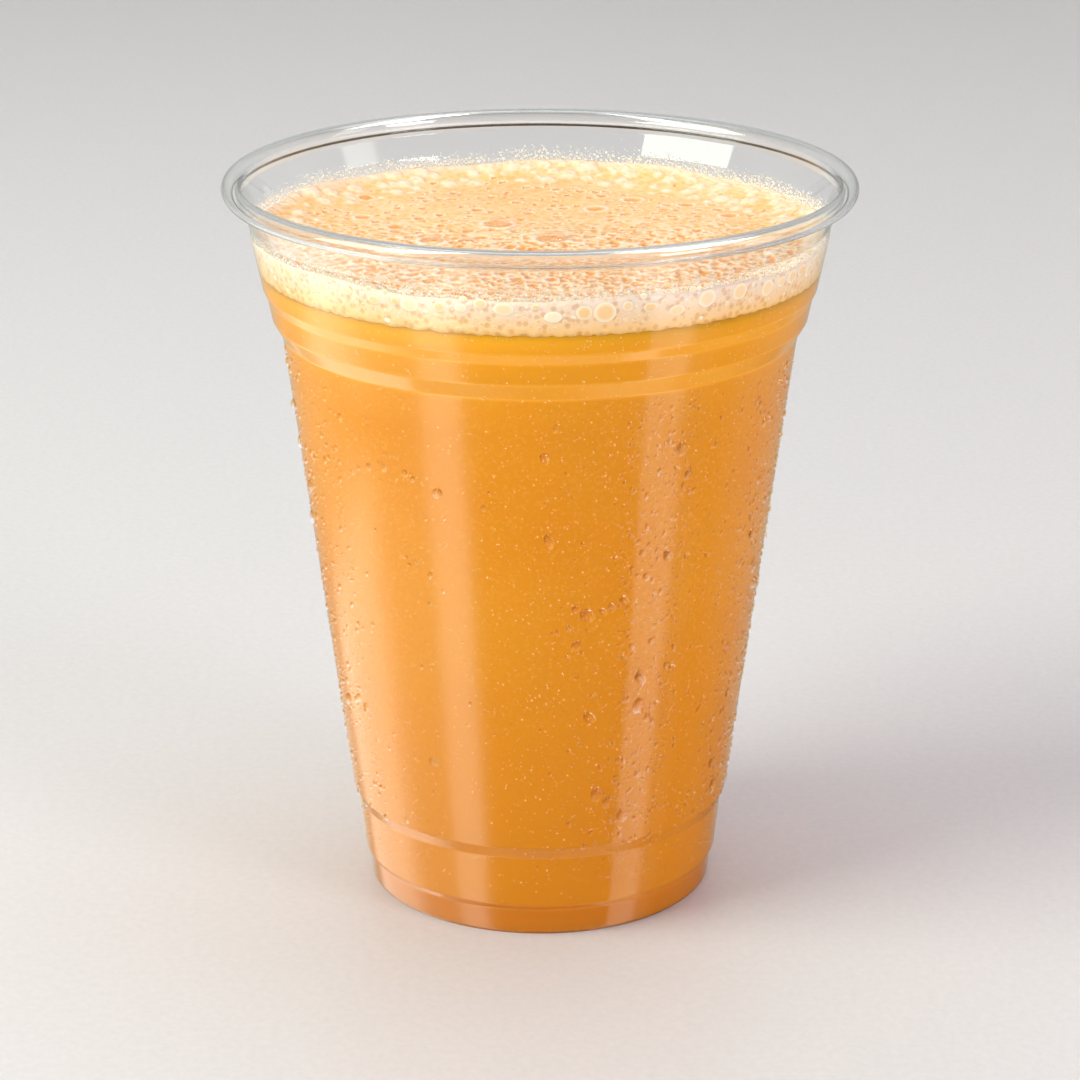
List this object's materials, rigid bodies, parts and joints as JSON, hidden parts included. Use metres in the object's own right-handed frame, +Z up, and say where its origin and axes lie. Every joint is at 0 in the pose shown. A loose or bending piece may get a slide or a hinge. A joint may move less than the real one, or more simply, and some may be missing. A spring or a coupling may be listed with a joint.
{
  "type": "cup of orange juice",
  "caption": "Clear tapered plastic cup with a rolled rim and stepped collar, filled with orange juice under a layer of froth.",
  "frame": {"origin": "centre of the cup's foot, on the surface that it stands on", "axes": "+Z up along the cup's axis, towards the rim; the cup is round, so X and Y are free"},
  "size_m": [0.098, 0.098, 0.116],
  "materials": {
    "clear_plastic": "clear, glossy, misted with condensation",
    "orange_juice": "cloudy liquid",
    "juice_froth": "wet bubbly froth"
  },
  "bodies": {
    "root": {"cup": "clear_plastic", "juice": "orange_juice", "froth": "juice_froth"}
  },
  "joints": []
}
